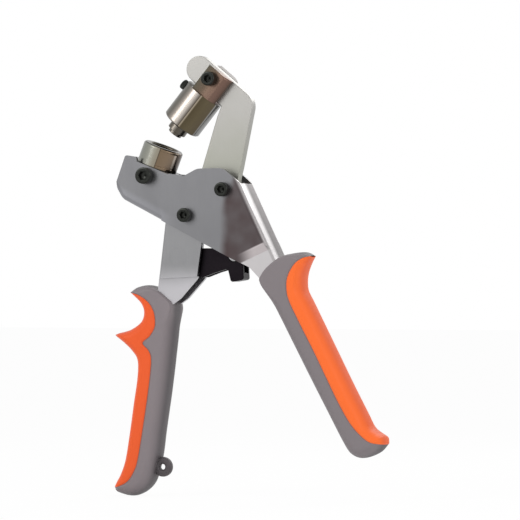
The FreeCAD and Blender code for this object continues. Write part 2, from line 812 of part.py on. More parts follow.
def punch_tip():
    body = new_body("punch_tip")
    face = -d.upper_length
    profile = [
        (zero, face + d.punch_stem_length),
        (d.punch_stem, face + d.punch_stem_length),
        (d.punch_stem, face),
        (d.punch_radius, face),
        (d.punch_radius, face - d.punch_step),
        (d.punch_nose_radius, face - d.punch_step),
        (d.punch_nose_radius, face - d.punch_step - d.punch_nose),
        (zero, face - d.punch_step - d.punch_nose),
    ]
    revolve(body, polygon(body, "XZ_Plane", "punch_profile", profile))
    finish(body, upper_die_place[0], upper_die_place[1], UPPER_TILT)


def set_screw():
    """The small cap screw in the left side of the upper die that holds the punch by its stem."""
    body = new_body("punch_set_screw")
    outside = -d.die_radius
    shank = circles(body, "YZ_Plane", "set_shank", [(zero, -d.set_drop, d.set_thread * 0.5)],
                    -d.punch_stem - d.fit_gap)
    pad(body, shank, d.die_radius - d.punch_stem, both=False, back=True)
    head = circles(body, "YZ_Plane", "set_head", [(zero, -d.set_drop, d.set_head * 0.5)], outside)
    pad(body, head, d.set_head_height, both=False, back=True)
    socket = hexagon(body, "YZ_Plane", "set_hex", zero, -d.set_drop, d.set_hex,
                     outside - d.set_head_height)
    pocket(body, socket, d.set_hex_depth, both=False, back=True)
    finish(body, upper_die_place[0], upper_die_place[1], UPPER_TILT)


def lever_frame():
    body = new_body("lever_frame")
    corners = share_points(LEVER_SHARES, d.lever_length, lever_pivot)
    web = share_points(LEVER_WEB_SHARES, d.lever_length, lever_pivot)
    pad(body, polygon(body, "XZ_Plane", "lever_outline", corners), lever_width)
    round_along(body, web[0], web[1], lever_width * 0.5, "lever_bend")
    head = circles(body, "XZ_Plane", "lever_head", [(lever_pivot[0], lever_pivot[1],
                                                    d.lever_head_radius)])
    pad(body, head, lever_width)
    plates_gap = lever_width - d.lever_sheet * 2
    space = [
        (web[0][0] - d.overrun, lever_pivot[1] + d.overrun),
        (web[0][0] - d.overrun, web[0][1]),
        (web[0][0] + d.lever_sheet, web[0][1]),
        (web[1][0] + d.lever_sheet * 0.87, web[1][1] - d.lever_sheet),
        (lever_pivot[0] + d.overrun, web[1][1] - d.lever_sheet),
        (lever_pivot[0] + d.overrun, lever_pivot[1] + d.overrun),
    ]
    pocket(body, polygon(body, "XZ_Plane", "lever_channel", space), plates_gap)
    setback = share_points(SETBACK_SHARES, d.lever_length, lever_pivot)
    pocket(body, polygon(body, "XZ_Plane", "back_plate_edge", setback), lever_width, both=False)

    tang = share_points(TANG_SHARES, d.lever_length, lever_pivot)
    pad(body, polygon(body, "XZ_Plane", "tang", tang), tang_width)
    round_corners(body, tang, share_radii(TANG_SHARES))
    hollow = [
        (tang[0][0] + d.lever_sheet, tang[0][1] + d.lever_sheet),
        (tang[1][0] + d.lever_sheet, tang[1][1]),
        (tang[2][0] + d.lever_sheet, tang[2][1] - d.lever_sheet * 2),
        (tang[3][0] + d.overrun, tang[3][1] - d.lever_sheet * 2),
        (tang[7][0] + d.overrun, tang[4][1]),
        (tang[7][0] + d.overrun, tang[0][1] + d.lever_sheet),
    ]
    pocket(body, polygon(body, "XZ_Plane", "tang_channel", hollow), tang_width - d.lever_sheet * 2)
    holes = [
        (lever_pivot[0], lever_pivot[1], d.lever_bush_outside * 0.5 + d.fit_gap * 0.4),
        (drive_pin[0], drive_pin[1], d.rivet * 0.5 + d.fit_gap * 0.4),
    ]
    pocket(body, circles(body, "XZ_Plane", "lever_holes", holes), d.body_width)
    recess = circles(body, "XZ_Plane", "rivet_recess",
                     [(drive_pin[0], drive_pin[1], d.rivet_head * 0.5 + d.fit_gap * 0.4)],
                     lever_width * 0.5 - d.rivet_head_height)
    pocket(body, recess, d.rivet_head_height * 2, both=False, back=True)
    finish(body)


def rivet(name, place, length, head_height):
    """A plain pin along Y, with a flat head at its front where head_height is given."""
    body = new_body(name)
    half = length * 0.5
    profile = [(zero, -half), (d.rivet * 0.5, -half), (d.rivet * 0.5, half), (zero, half)]
    if head_height:
        profile[1:2] = [
            (d.rivet_head * 0.5, -half),
            (d.rivet_head * 0.5, head_height - half),
            (d.rivet * 0.5, head_height - half),
        ]
    revolve(body, polygon(body, "XY_Plane", "profile_of_" + name, profile))
    finish(body, place[0], place[1])


def toggle_link():
    body = new_body("toggle_link")
    corners = share_points(LINK_SHARES, d.link_length, drive_pin)
    pad(body, polygon(body, "XZ_Plane", "link_outline", corners), link_width)
    round_corners(body, corners, share_radii(LINK_SHARES))
    bosses = circles(body, "XZ_Plane", "link_boss",
                     [(drive_pin[0], drive_pin[1], d.link_boss_radius)])
    pad(body, bosses, link_width)
    bridge = share_points(LINK_BRIDGE_SHARES, d.link_length, drive_pin)
    space = [
        (drive_pin[0] - d.overrun, drive_pin[1] - d.overrun),
        (bridge[3][0], bridge[3][1]),
        (bridge[0][0], bridge[0][1]),
        (bridge[1][0], bridge[1][1]),
        (bridge[1][0], drive_pin[1] + d.overrun),
        (drive_pin[0] - d.overrun, drive_pin[1] + d.overrun),
    ]
    pocket(body, polygon(body, "XZ_Plane", "arm_space", space), link_inner)
    holes = [
        (drive_pin[0], drive_pin[1], d.rivet * 0.5 + d.fit_gap),
        (tail_pin[0], tail_pin[1], d.rivet * 0.5 + d.open_pivot_gap),
    ]
    pocket(body, circles(body, "XZ_Plane", "link_holes", holes), d.body_width)
    finish(body)


def return_spring():
    """A torsion spring round the lever's bush: one leg on the lever's web, one on the die block."""
    body = new_body("return_spring")
    half = d.spring_wire * 0.5
    radius = d.lever_bush_outside * 0.5 + d.spring_gap + half
    start = -d.spring_pitch * (SPRING_TURNS * 0.5)
    wire = circles(body, "XY_Plane", "wire", [(-radius, start, half)])
    coil = body.newObject("PartDesign::AdditiveHelix", "coil")
    coil.Profile = wire
    coil.ReferenceAxis = (wire, ["V_Axis"])
    coil.Mode = 0
    coil.setExpression("Pitch", d.spring_pitch.text)
    coil.setExpression("Height", (d.spring_pitch * SPRING_TURNS).text)
    doc.recompute()
    web = share_points(LEVER_WEB_SHARES, d.lever_length, (zero, zero))
    web_rest = (
        web[0][0] + (web[1][0] - web[0][0]) * SPRING_REST + d.lever_sheet + half + d.side_gap,
        web[0][1] + (web[1][1] - web[0][1]) * SPRING_REST,
    )
    corner = beside_axis(LOWER_TILT, -d.lower_seat - d.block_depth, d.block_half)
    block_rest = (corner[0] - lever_pivot[0], corner[1] - lever_pivot[1] - half - d.spring_gap)
    for name, (x, z), middle in (("web_leg", web_rest, start), ("block_leg", block_rest, -start)):
        run = math.hypot(x.value + radius.value, z.value)
        across, up = (x.value + radius.value) / run, z.value / run
        leg = [
            (-radius - half * up, half * across),
            (-radius + half * up, -half * across),
            (x + half * up, z - half * across),
            (x - half * up, z + half * across),
        ]
        pad(body, polygon(body, "XZ_Plane", name, leg, half - middle), d.spring_wire, both=False,
            back=True)
    finish(body, lever_pivot[0], lever_pivot[1])


def grip(name, seam, own, radii, seam_radii, width, edge, socket=None, ring=None):
    """One half of a moulded grip: its outline runs along the seam and back along its own edge."""
    body = new_body(name)
    outline = seam + own
    pad(body, polygon(body, "XZ_Plane", "outline_of_" + name, outline), width)
    round_corners(body, outline, seam_radii + radii)
    round_rim(body, seam, width * 0.5, edge)
    if ring:
        lug = circles(body, "XZ_Plane", "hanging_ring", [(ring[0], ring[1], d.ring_radius)])
        pad(body, lug, d.ring_thickness)
        hole = circles(body, "XZ_Plane", "ring_hole", [(ring[0], ring[1], d.ring_hole_radius)])
        pocket(body, hole, width)
    if socket:
        corners, depth = socket
        pocket(body, polygon(body, "XZ_Plane", "socket_of_" + name, corners), depth)
    finish(body)


def outward(corners, distance):
    """The same closed outline, moved outward by a length along the mitre of each corner."""
    spots = [(x.value, z.value) for x, z in corners]
    area = sum(spots[i - 1][0] * spots[i][1] - spots[i][0] * spots[i - 1][1]
               for i in range(len(spots)))
    side = 1 if area > 0 else -1
    moved = []
    for i, (x, z) in enumerate(corners):
        before, here, after = spots[i - 1], spots[i], spots[(i + 1) % len(spots)]
        normals = []
        for a, b in ((before, here), (here, after)):
            run = math.hypot(b[0] - a[0], b[1] - a[1])
            normals.append(((b[1] - a[1]) / run * side, -(b[0] - a[0]) / run * side))
        mitre = 1 + normals[0][0] * normals[1][0] + normals[0][1] * normals[1][1]
        moved.append((x + distance * ((normals[0][0] + normals[1][0]) / mitre),
                      z + distance * ((normals[0][1] + normals[1][1]) / mitre)))
    return moved


def right_grip():
    mouth = (d.body_length * RIGHT_MOUTH_SHARES[0], d.body_length * RIGHT_MOUTH_SHARES[1])
    seam = share_points(RIGHT_SEAM_SHARES, d.grip_length, mouth)
    shank = share_points(SHANK_SHARES, d.body_length, arm_pivot)
    socket = (outward(shank, d.socket_gap), shank_width + d.socket_gap * 2)
    seam_radii = share_radii(RIGHT_SEAM_SHARES)
    grip("right_grip_core", seam[::-1], share_points(RIGHT_CORE_SHARES, d.grip_length, mouth),
         share_radii(RIGHT_CORE_SHARES), seam_radii[::-1], d.right_grip_width, "right_grip_edge",
         socket)
    grip("right_grip_pad", seam, share_points(RIGHT_PAD_SHARES, d.grip_length, mouth),
         share_radii(RIGHT_PAD_SHARES), seam_radii, d.right_grip_width, "right_grip_edge", socket)


def left_grip():
    mouth = (lever_pivot[0] + d.lever_length * LEFT_MOUTH_SHARES[0],
             lever_pivot[1] + d.lever_length * LEFT_MOUTH_SHARES[1])
    seam = share_points(LEFT_SEAM_SHARES, d.grip_length, mouth)
    tang = share_points(TANG_SHARES, d.lever_length, lever_pivot)
    socket = (outward(tang, d.socket_gap), tang_width + d.socket_gap * 2)
    ring = share_points([RING_SHARES], d.grip_length, mouth)[0]
    seam_radii = share_radii(LEFT_SEAM_SHARES)
    grip("left_grip_core", seam, share_points(LEFT_CORE_SHARES, d.grip_length, mouth),
         share_radii(LEFT_CORE_SHARES), seam_radii, d.left_grip_width, "left_grip_edge", socket, ring)
    grip("left_grip_pad", seam[::-1], share_points(LEFT_PAD_SHARES, d.grip_length, mouth),
         share_radii(LEFT_PAD_SHARES), seam_radii[::-1], d.left_grip_width, "left_grip_edge", socket)


def check_document():
    """Stops if a feature failed or a sub-part has no sound solid."""
    doc.recompute()
    for item in doc.Objects:
        if "Invalid" in item.State or "Error" in item.State:
            raise ValueError(f"{item.Name} failed")
    for body in built:
        if body.Shape.isNull() or not body.Shape.isValid() or len(body.Shape.Solids) != 1:
            raise ValueError(f"{body.Label} is not one sound solid")


def stand_on_foot():
    """Moves every sub-part so that the origin is at the middle of the foot of the tool's box."""
    box = FreeCAD.BoundBox()
    for body in built:
        if body.Name != "return_spring":
            box.add(body.Shape.optimalBoundingBox(False))
    shift = FreeCAD.Vector(-box.Center.x, -box.Center.y, -box.ZMin)
    for body in built:
        place = body.Placement
        body.Placement = FreeCAD.Placement(place.Base + shift, place.Rotation)
    doc.recompute()
    return shift


make_sheet()
body_frame()
die_block()
lower_die()
cap_screw("clamp_screw", clamp_place, 0, d.clamp_thread, d.clamp_head, d.clamp_head_height,
          d.clamp_hex, d.hex_depth, -body_half, body_half + d.clamp_nut_height)
nut("clamp_nut", clamp_place, d.clamp_nut, d.clamp_thread, d.clamp_nut_height)
for side, place in (("lever", lever_pivot), ("arm", arm_pivot)):
    cap_screw(side + "_pivot_screw", place, 0, d.pivot_thread, d.pivot_head, d.pivot_head_height,
              d.pivot_hex, d.hex_depth, -body_half, body_half + d.pivot_nut_height)
    nut(side + "_pivot_nut", place, d.pivot_nut, d.pivot_thread, d.pivot_nut_height)
    tube(side + "_pivot_sleeve", place, d.sleeve_outside, d.pivot_thread + d.fit_gap * 2, inner_width)
spacer_length = (inner_width - d.arm_thickness) * 0.5 - d.side_gap
spacer_middle = (inner_width + d.arm_thickness) * 0.25
tube("front_arm_spacer", arm_pivot, d.arm_bush_outside, d.sleeve_outside + d.fit_gap * 2,
     spacer_length, -spacer_middle)
tube("rear_arm_spacer", arm_pivot, d.arm_bush_outside, d.sleeve_outside + d.fit_gap * 2,
     spacer_length, spacer_middle)
return_spring()
lever_frame()
tube("lever_bush", lever_pivot, d.lever_bush_outside, d.sleeve_outside + d.fit_gap * 2, lever_width)
rivet("lever_link_rivet", drive_pin, lever_width, d.rivet_head_height)
toggle_link()
tube("link_spacer", drive_pin, d.link_spacer_outside, d.rivet + d.fit_gap * 2,
     link_inner - d.fit_gap * 2)
upper_arm()
tube("arm_bush", arm_pivot, d.arm_bush_outside - d.body_sheet * 0.8 - d.fit_gap,
     d.sleeve_outside + d.fit_gap * 2, d.arm_thickness)
rivet("tail_rivet", tail_pin, link_width + d.rivet_overhang * 2, None)
upper_die()
punch_tip()
set_screw()
cap_screw("die_cross_screw", cross_place, UPPER_TILT, d.pivot_thread, d.pivot_head,
          d.pivot_head_height, d.pivot_hex, d.hex_depth, -clevis_half, clevis_half)
right_grip()
left_grip()
check_document()
shift = stand_on_foot()

os.makedirs("parts", exist_ok=True)
for body in built:
    body.Shape.exportStep(f"parts/{body.Label}.step")
print(f"{len(built)} sub-parts, arm pivot at {shift.x:.3f}, {shift.y:.3f}, {shift.z:.3f}")
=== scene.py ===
import json
import math

import bmesh
import bpy
import numpy as np
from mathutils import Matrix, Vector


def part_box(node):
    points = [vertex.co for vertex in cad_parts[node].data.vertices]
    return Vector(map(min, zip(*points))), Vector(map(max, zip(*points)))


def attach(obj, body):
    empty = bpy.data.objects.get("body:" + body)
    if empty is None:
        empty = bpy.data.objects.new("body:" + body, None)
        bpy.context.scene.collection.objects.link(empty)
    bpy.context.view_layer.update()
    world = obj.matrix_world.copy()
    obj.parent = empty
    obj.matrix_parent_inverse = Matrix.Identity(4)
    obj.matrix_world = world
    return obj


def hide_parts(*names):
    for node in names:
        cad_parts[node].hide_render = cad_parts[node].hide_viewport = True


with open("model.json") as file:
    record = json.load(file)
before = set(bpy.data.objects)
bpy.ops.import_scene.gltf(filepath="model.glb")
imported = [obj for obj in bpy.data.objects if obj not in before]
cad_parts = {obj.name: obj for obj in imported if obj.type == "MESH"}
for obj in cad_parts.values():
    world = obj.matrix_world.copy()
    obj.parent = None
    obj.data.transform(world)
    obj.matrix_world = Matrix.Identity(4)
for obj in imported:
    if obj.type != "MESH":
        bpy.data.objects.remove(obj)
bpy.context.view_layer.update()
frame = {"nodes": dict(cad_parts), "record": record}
record = frame["record"]
bodyOfNode = {node: body for body, nodes in record["behaviour"]["bodies"].items() for node in nodes}
slotOfNode = {part["node"]: part["material_slot"] for part in record["subparts"]}

# everything is placed in millimetres from the pivot of the upper arm: x right, y back, z up
pivotLow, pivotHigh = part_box("arm_pivot_sleeve")
armPivot = np.array([(low + high) / 2 for low, high in zip(pivotLow, pivotHigh)])
mm = 0.001
print("frame loaded, arm pivot at", armPivot)


def inFrame(points):
    # tool millimetres to metres in the frame
    return np.asarray(points, float) * mm + armPivot


# camera, floor and light

view = {"azimuth": 20.5, "distance": 2600.0, "aimX": 19.0, "aimZ": -42.3, "spanMm": 312.0,
        "sensorMm": 36.0}
scene = bpy.context.scene
turn = math.radians(view["azimuth"])
cameraData = bpy.data.cameras.new("photoCamera")
cameraData.sensor_width = view["sensorMm"]
cameraData.lens = view["sensorMm"] * view["distance"] / view["spanMm"]
cameraData.clip_start, cameraData.clip_end = 0.01, 50.0
camera = bpy.data.objects.new("photoCamera", cameraData)
scene.collection.objects.link(camera)
aim = np.array([view["aimX"], 0.0, view["aimZ"]])
back = np.array([math.sin(turn), -math.cos(turn), 0.0])
camera.location = inFrame(aim + back * view["distance"])
camera.rotation_euler = (math.pi / 2, 0.0, turn)
scene.camera = camera
scene.view_settings.view_transform = "Standard"


class Wire:
    # a shader socket that takes + - * / and powers with numbers and other sockets
    def __init__(self, bench, socket):
        self.bench, self.socket = bench, socket

    def calc(self, operation, first, second):
        return self.bench.node("ShaderNodeMath", {"operation": operation}, {0: first, 1: second})

    def __add__(self, other):
        return self.calc("ADD", self, other)

    def __radd__(self, other):
        return self.calc("ADD", other, self)

    def __sub__(self, other):
        return self.calc("SUBTRACT", self, other)

    def __rsub__(self, other):
        return self.calc("SUBTRACT", other, self)

    def __mul__(self, other):
        return self.calc("MULTIPLY", self, other)

    def __rmul__(self, other):
        return self.calc("MULTIPLY", other, self)

    def __truediv__(self, other):
        return self.calc("DIVIDE", self, other)

    def __pow__(self, other):
        return self.calc("POWER", self, other)


class Bench:
    # the node tree of one material or of the world
    def __init__(self, name, owner=None):
        self.owner = owner or bpy.data.materials.new(name)
        self.owner.use_nodes = True
        self.tree = self.owner.node_tree
        self.tree.nodes.clear()

    def node(self, kind, settings=None, values=None, output=0):
        made = self.tree.nodes.new(kind)
        for key, value in (settings or {}).items():
            if key == "stops":
                ramp = made.color_ramp
                while len(ramp.elements) < len(value):
                    ramp.elements.new(1.0)
                for element, (place, colour) in zip(ramp.elements, value):
                    element.position, element.color = place, (*colour, 1.0)
            else:
                setattr(made, key, value)
        for key, value in (values or {}).items():
            socket = made.inputs[key]
            if isinstance(value, Wire):
                self.tree.links.new(value.socket, socket)
            elif isinstance(value, tuple) and len(value) == 3 and socket.type == "RGBA":
                socket.default_value = (*value, 1.0)
            else:
                socket.default_value = value
        return Wire(self, made.outputs[output]) if len(made.outputs) else made

    def place(self):
        # object coordinates as x, y, z in millimetres from the arm's pivot
        spot = self.node("ShaderNodeTexCoord", output=3)
        split = self.node("ShaderNodeSeparateXYZ", None, {0: spot})
        sockets = split.socket.node.outputs
        return [(Wire(self, sockets[i]) - float(armPivot[i])) / mm for i in range(3)]

    def stretched(self, scale, turned=(0.0, 0.0, 0.0)):
        spot = self.node("ShaderNodeTexCoord", output=3)
        return self.node("ShaderNodeMapping", None, {"Vector": spot, "Rotation": turned, "Scale": scale})

    def noise(self, vector, scale, detail=3.0, roughness=0.5):
        return self.node("ShaderNodeTexNoise", None, {"Vector": vector, "Scale": scale, "Detail": detail,
                                                      "Roughness": roughness})

    def step(self, value, start, end):
        # 0 before start, 1 after end, with a soft passage between them
        return self.node("ShaderNodeMapRange", {"interpolation_type": "SMOOTHSTEP"},
                         {"Value": value, "From Min": start, "From Max": end, "To Min": 0.0, "To Max": 1.0})

    def mix(self, factor, first, second):
        return self.node("ShaderNodeMix", {"data_type": "RGBA", "clamp_factor": True},
                         {0: factor, 6: first, 7: second}, output=2)

    def ramp(self, factor, stops):
        return self.node("ShaderNodeValToRGB", {"stops": stops}, {0: factor})

    def bump(self, height, strength, distance):
        return self.node("ShaderNodeBump", None, {"Height": height, "Strength": strength,
                                                  "Distance": distance})

    def finish(self, **sockets):
        values = {key.replace("_", " "): value for key, value in sockets.items()}
        shader = self.node("ShaderNodeBsdfPrincipled", None, values)
        self.node("ShaderNodeOutputMaterial", None, {"Surface": shader})
        return self.owner


studio = {"ambient": 0.66, "floorColour": (0.93, 0.93, 0.93), "floorGlow": 0.95, "floorHeight": -0.0011,
          "lamps": {"keyLamp": ((-420.0, -620.0, 380.0), 420.0, 2.2),
                    "sideLamp": ((620.0, -260.0, 160.0), 360.0, 1.0),
                    "backLamp": ((140.0, 620.0, 420.0), 420.0, 1.4)}}


def makeStudio():
    sky = Bench("studio", bpy.data.worlds.new("studio"))
    scene.world = sky.owner
    rays = sky.node("ShaderNodeLightPath").socket.node.outputs
    seen = Wire(sky, rays["Is Camera Ray"]) + Wire(sky, rays["Is Glossy Ray"]) + Wire(
        sky, rays["Is Transmission Ray"])
    level = studio["ambient"] + (1.0 - studio["ambient"]) * sky.node("ShaderNodeClamp", None, {0: seen})
    light = sky.node("ShaderNodeBackground", None, {"Color": (1.0, 1.0, 1.0), "Strength": level})
    sky.node("ShaderNodeOutputWorld", None, {"Surface": light})

    floorBench = Bench("paleFloor")
    rays = floorBench.node("ShaderNodeLightPath").socket.node.outputs
    seen = Wire(floorBench, rays["Is Camera Ray"]) + Wire(floorBench, rays["Is Glossy Ray"])
    lit = floorBench.node("ShaderNodeBsdfDiffuse", None, {"Color": studio["floorColour"]})
    glow = floorBench.node("ShaderNodeEmission", None, {"Color": (1.0, 1.0, 1.0), "Strength": 1.0})
    share = floorBench.node("ShaderNodeClamp", None, {0: seen}) * studio["floorGlow"]
    both = floorBench.node("ShaderNodeMixShader", None, {0: share, 1: lit, 2: glow})
    floorBench.node("ShaderNodeOutputMaterial", None, {"Surface": both})
    reach = 6.0
    level = studio["floorHeight"]
    corners = [(-reach, -reach, level), (reach, -reach, level), (reach, reach, level), (-reach, reach, level)]
    mesh = bpy.data.meshes.new("paleFloor")
    mesh.from_pydata(corners, [], [(0, 1, 2, 3)])
    mesh.materials.append(floorBench.owner)
    floor = bpy.data.objects.new("paleFloor", mesh)
    scene.collection.objects.link(floor)

    for name, (spot, size, power) in studio["lamps"].items():
        lamp = bpy.data.lights.new(name, "AREA")
        lamp.size, lamp.energy = size * mm, power
        holder = bpy.data.objects.new(name, lamp)
        scene.collection.objects.link(holder)
        holder.location = inFrame(spot)
        direction = inFrame((0.0, 0.0, -30.0)) - inFrame(spot)
        flat = math.hypot(direction[0], direction[1])
        holder.rotation_euler = (math.pi / 2 - math.atan2(-direction[2], flat), 0.0,
                                 math.atan2(-direction[0], direction[1]))


makeStudio()
print("camera and studio made")


# finishes

# steel colours; the dark cheek colour, the fold streak, the ramp and the web bands are painted reflections
# and highlights
steelLook = {
    "cheekLow": (0.205, 0.205, 0.215), "cheekHigh": (0.24, 0.24, 0.246), "reflectionDark": (0.072, 0.05, 0.05),
    "ramp": (0.54, 0.49, 0.495), "shank": (0.54, 0.52, 0.525), "foldHighlight": (0.31, 0.31, 0.335),
    "webReflectionBands": [(0.0, (0.18, 0.165, 0.165)), (0.15, (0.6, 0.58, 0.58)), (0.3, (0.6, 0.58, 0.58)),
                 (0.5, (0.13, 0.12, 0.12)), (1.0, (0.2, 0.185, 0.185))],
}


def scratches(bench, scale, turned=(0.0, 0.0, 0.0)):
    # fine grain stretched along one direction, mixed with a slow cloud
    fine = bench.noise(bench.stretched(scale, turned), 1.0, 4.0, 0.65)
    cloud = bench.noise(bench.stretched((1.0, 1.0, 1.0)), 55.0, 2.0, 0.5)
    return fine, cloud


def bodySteel():
    bench = Bench("bodySteel")
    x, y, z = bench.place()
    fine, cloud = scratches(bench, (900.0, 900.0, 90.0), (0.0, 0.35, 0.0))
    wobble = (cloud - 0.5) * 14.0
    # painted reflection: the right cheek is coloured dark as if mirroring something dark, from a soft upright
    # line to the bend
    darkSide = bench.step(x + wobble * 0.3, -3.0, 3.5)
    top = bench.step(x * 2.2 - z + wobble, 2.0, 13.0)
    dark = darkSide * top * (0.84 + (cloud - 0.5) * 0.9)
    tone = bench.mix(fine * 0.35 + cloud * 0.35, steelLook["cheekLow"], steelLook["cheekHigh"])
    tone = bench.mix(dark, tone, steelLook["reflectionDark"])
    # under the jaw a painted highlight, a paler streak, follows the fold
    lower = bench.step(z * 0.89 + x * 0.455, -27.0, -31.0) * bench.step(x, -30.0, -42.0)
    tone = bench.mix(lower * 0.5, tone, steelLook["foldHighlight"])
    # painted highlight: the ramp at the foot of the cheek is coloured as if catching the light, and the shank
    # below it is pale
    drop = z * 0.913 - x * 0.408 + 44.4
    ramp = bench.step(drop, 5.4, 4.4) * bench.step(x, 8.0, 20.0)
    tone = bench.mix(ramp, tone, steelLook["ramp"])
    tone = bench.mix(bench.step(drop, 0.4, -0.6) * bench.step(x, 6.0, 12.0), tone, steelLook["shank"])
    # painted reflection: the web is coloured as if mirroring the bright room on its front half and something
    # dark behind it
    along = (x * 0.901 + z * 0.434) - 10.85
    web = bench.step(along, -2.2, -1.2)
    across = bench.ramp((y + 12.0) / 24.0, steelLook["webReflectionBands"])
    tone = bench.mix(web, tone, across)
    rough = 0.27 + fine * 0.12 + (cloud - 0.5) * 0.1
    return bench.finish(Base_Color=tone, Metallic=1.0, Roughness=rough,
                        Normal=bench.bump(fine, 0.25, 0.00012))


def leverSteel():
    bench = Bench("leverSteel")
    x, y, z = bench.place()
    fine, cloud = scratches(bench, (900.0, 900.0, 90.0))
    tone = bench.mix(fine * 0.4 + cloud * 0.3, (0.25, 0.25, 0.256), (0.3, 0.3, 0.306))
    # painted highlight: the foot of the plate, where it steps in to the grip, is coloured paler as if turned
    # to the light
    foot = bench.step(z + (cloud - 0.5) * 6.0, -44.0, -60.0)
    tone = bench.mix(foot, tone, (0.5, 0.49, 0.51))
    rough = 0.29 + fine * 0.12
    return bench.finish(Base_Color=tone, Metallic=1.0, Roughness=rough,
                        Normal=bench.bump(fine, 0.22, 0.00012))


def armSteel():
    bench = Bench("armSteel")
    x, y, z = bench.place()
    fine, cloud = scratches(bench, (1100.0, 1100.0, 70.0), (0.0, 0.15, 0.0))
    tone = bench.mix(bench.step(z + (cloud - 0.5) * 20.0, 52.0, 12.0), (0.385, 0.375, 0.355),
                     (0.335, 0.335, 0.29))
    tone = bench.mix(fine * 0.3, tone, (0.42, 0.42, 0.405))
    rough = 0.34 + fine * 0.12
    return bench.finish(Base_Color=tone, Metallic=1.0, Roughness=rough,
                        Normal=bench.bump(fine, 0.18, 0.0001))


def dieNickel(name, look):
    # in a die's own directions, aside to the right, up its axis and out to the front: painted reflection
    # bands by the angle round the axis, the wrench flat and the faces above the shoulder as zones of their
    # own
    bench = Bench(name)
    x, y, z = bench.place()
    lean, rise = math.sin(math.radians(look["tilt"])), math.cos(math.radians(look["tilt"]))
    x, z, out = x - look["at"][0], z - look["at"][1], y * -1.0
    aside, up = x * rise - z * lean, x * lean + z * rise
    angle = bench.node("ShaderNodeMath", {"operation": "ARCTAN2"}, {0: aside, 1: out})
    tone = bench.ramp(angle / (2 * math.pi) + 0.5, look["reflectionBands"])
    toFlat, along = math.radians(dieFlat["turn"]), math.radians(dieFlat["turn"] - 90)
    depth = aside * math.cos(toFlat) + out * math.sin(toFlat)
    width = aside * math.cos(along) + out * math.sin(along)
    fromMiddle = bench.node("ShaderNodeMath", {"operation": "ABSOLUTE"}, {0: width})
    onFlat = bench.step(depth, dieFlat["from"] - 0.5, dieFlat["from"] - 0.4) * bench.step(
        fromMiddle, dieFlat["half"] + 0.03, dieFlat["half"] - 0.05)
    # painted reflection across the wrench flat, with a painted highlight near its edge
    flat = bench.ramp((width + dieFlat["half"]) / (2 * dieFlat["half"]), look["flat"])
    tone = bench.mix(onFlat, tone, flat)
    # painted shade: the rims at both ends turn dark
    low, high, rim = look["ends"]
    ends = bench.step(up, low + rim, low + rim * 0.6) + bench.step(up, high - rim, high - rim * 0.6)
    tone = bench.mix(ends * look["rimShade"], tone, look["rimShadeTone"])
    if "head" in look:
        # painted light and shade on the faces above the shoulder: a paler middle band, and the rear side
        # painted darker
        head = bench.ramp((aside + 6.0) / 18.0, look["head"])
        head = bench.mix(bench.step(out, -1.0, -2.0), head, look["rear"])
        tone = bench.mix(bench.step(up, 0.02, 0.06), tone, head)
    fine, cloud = scratches(bench, (700.0, 700.0, 700.0))
    tone = bench.mix(cloud * 0.08, tone, (0.34, 0.31, 0.26))
    rough = 0.22 + fine * 0.06
    return bench.finish(Base_Color=tone, Metallic=1.0, Roughness=rough,
                        Normal=bench.bump(fine, 0.06, 0.00005))


def plainMetal(name, low, high, rough, grain=500.0):
    bench = Bench(name)
    fine, cloud = scratches(bench, (grain, grain, grain))
    tone = bench.mix(fine * 0.6 + cloud * 0.4, low, high)
    return bench.finish(Base_Color=tone, Metallic=1.0, Roughness=rough + fine * 0.12,
                        Normal=bench.bump(fine, 0.2, 0.0001))


def moulded(name, look):
    # moulded plastic: a fine pebble from the tool and slow drifts of tone, with painted shade where the
    # section rounds off to the rims and painted light making it a little paler towards the right of the tool
    bench = Bench(name)
    x, y, z = bench.place()
    fine = bench.noise(bench.stretched((1.0, 1.0, 1.0)), 2600.0, 2.0, 0.5)
    cloud = bench.noise(bench.stretched((1.0, 1.0, 0.4)), 40.0, 2.0, 0.5)
    tone = bench.mix(cloud * 0.7 + fine * 0.3, look["low"], look["high"])
    tone = bench.mix(bench.step(x, -30.0, 30.0) * look["rightLight"], tone, look["right"])
    thickness = bench.node("ShaderNodeMath", {"operation": "ABSOLUTE"}, {0: y})
    tone = bench.mix(bench.step(thickness, 10.6, 3.0) * look["shade"], tone, look["rim"])
    return bench.finish(Base_Color=tone, Metallic=0.0, Roughness=look["rough"] + (fine - 0.5) * 0.2,
                        Normal=bench.bump(fine, look["pebble"], 0.00012), Specular_IOR_Level=look["gloss"])


# grip colours: right is painted light towards the right of the tool, rim is painted shade at the rounded rims
gripLook = {
    "grey": {"low": (0.2, 0.172, 0.182), "high": (0.25, 0.218, 0.228), "right": (0.195, 0.175, 0.182),
             "rightLight": 0.5, "rim": (0.05, 0.044, 0.048), "shade": 0.8, "rough": 0.5, "pebble": 0.25,
             "gloss": 0.35},
    "orange": {"low": (0.78, 0.1, 0.022), "high": (0.88, 0.13, 0.035), "right": (1.0, 0.18, 0.035),
               "rightLight": 0.8, "rim": (0.62, 0.07, 0.012), "shade": 0.55, "rough": 0.42, "pebble": 0.2,
               "gloss": 0.15},
}
dieFlat = {"turn": 49.0, "from": 10.8, "half": 5.9}
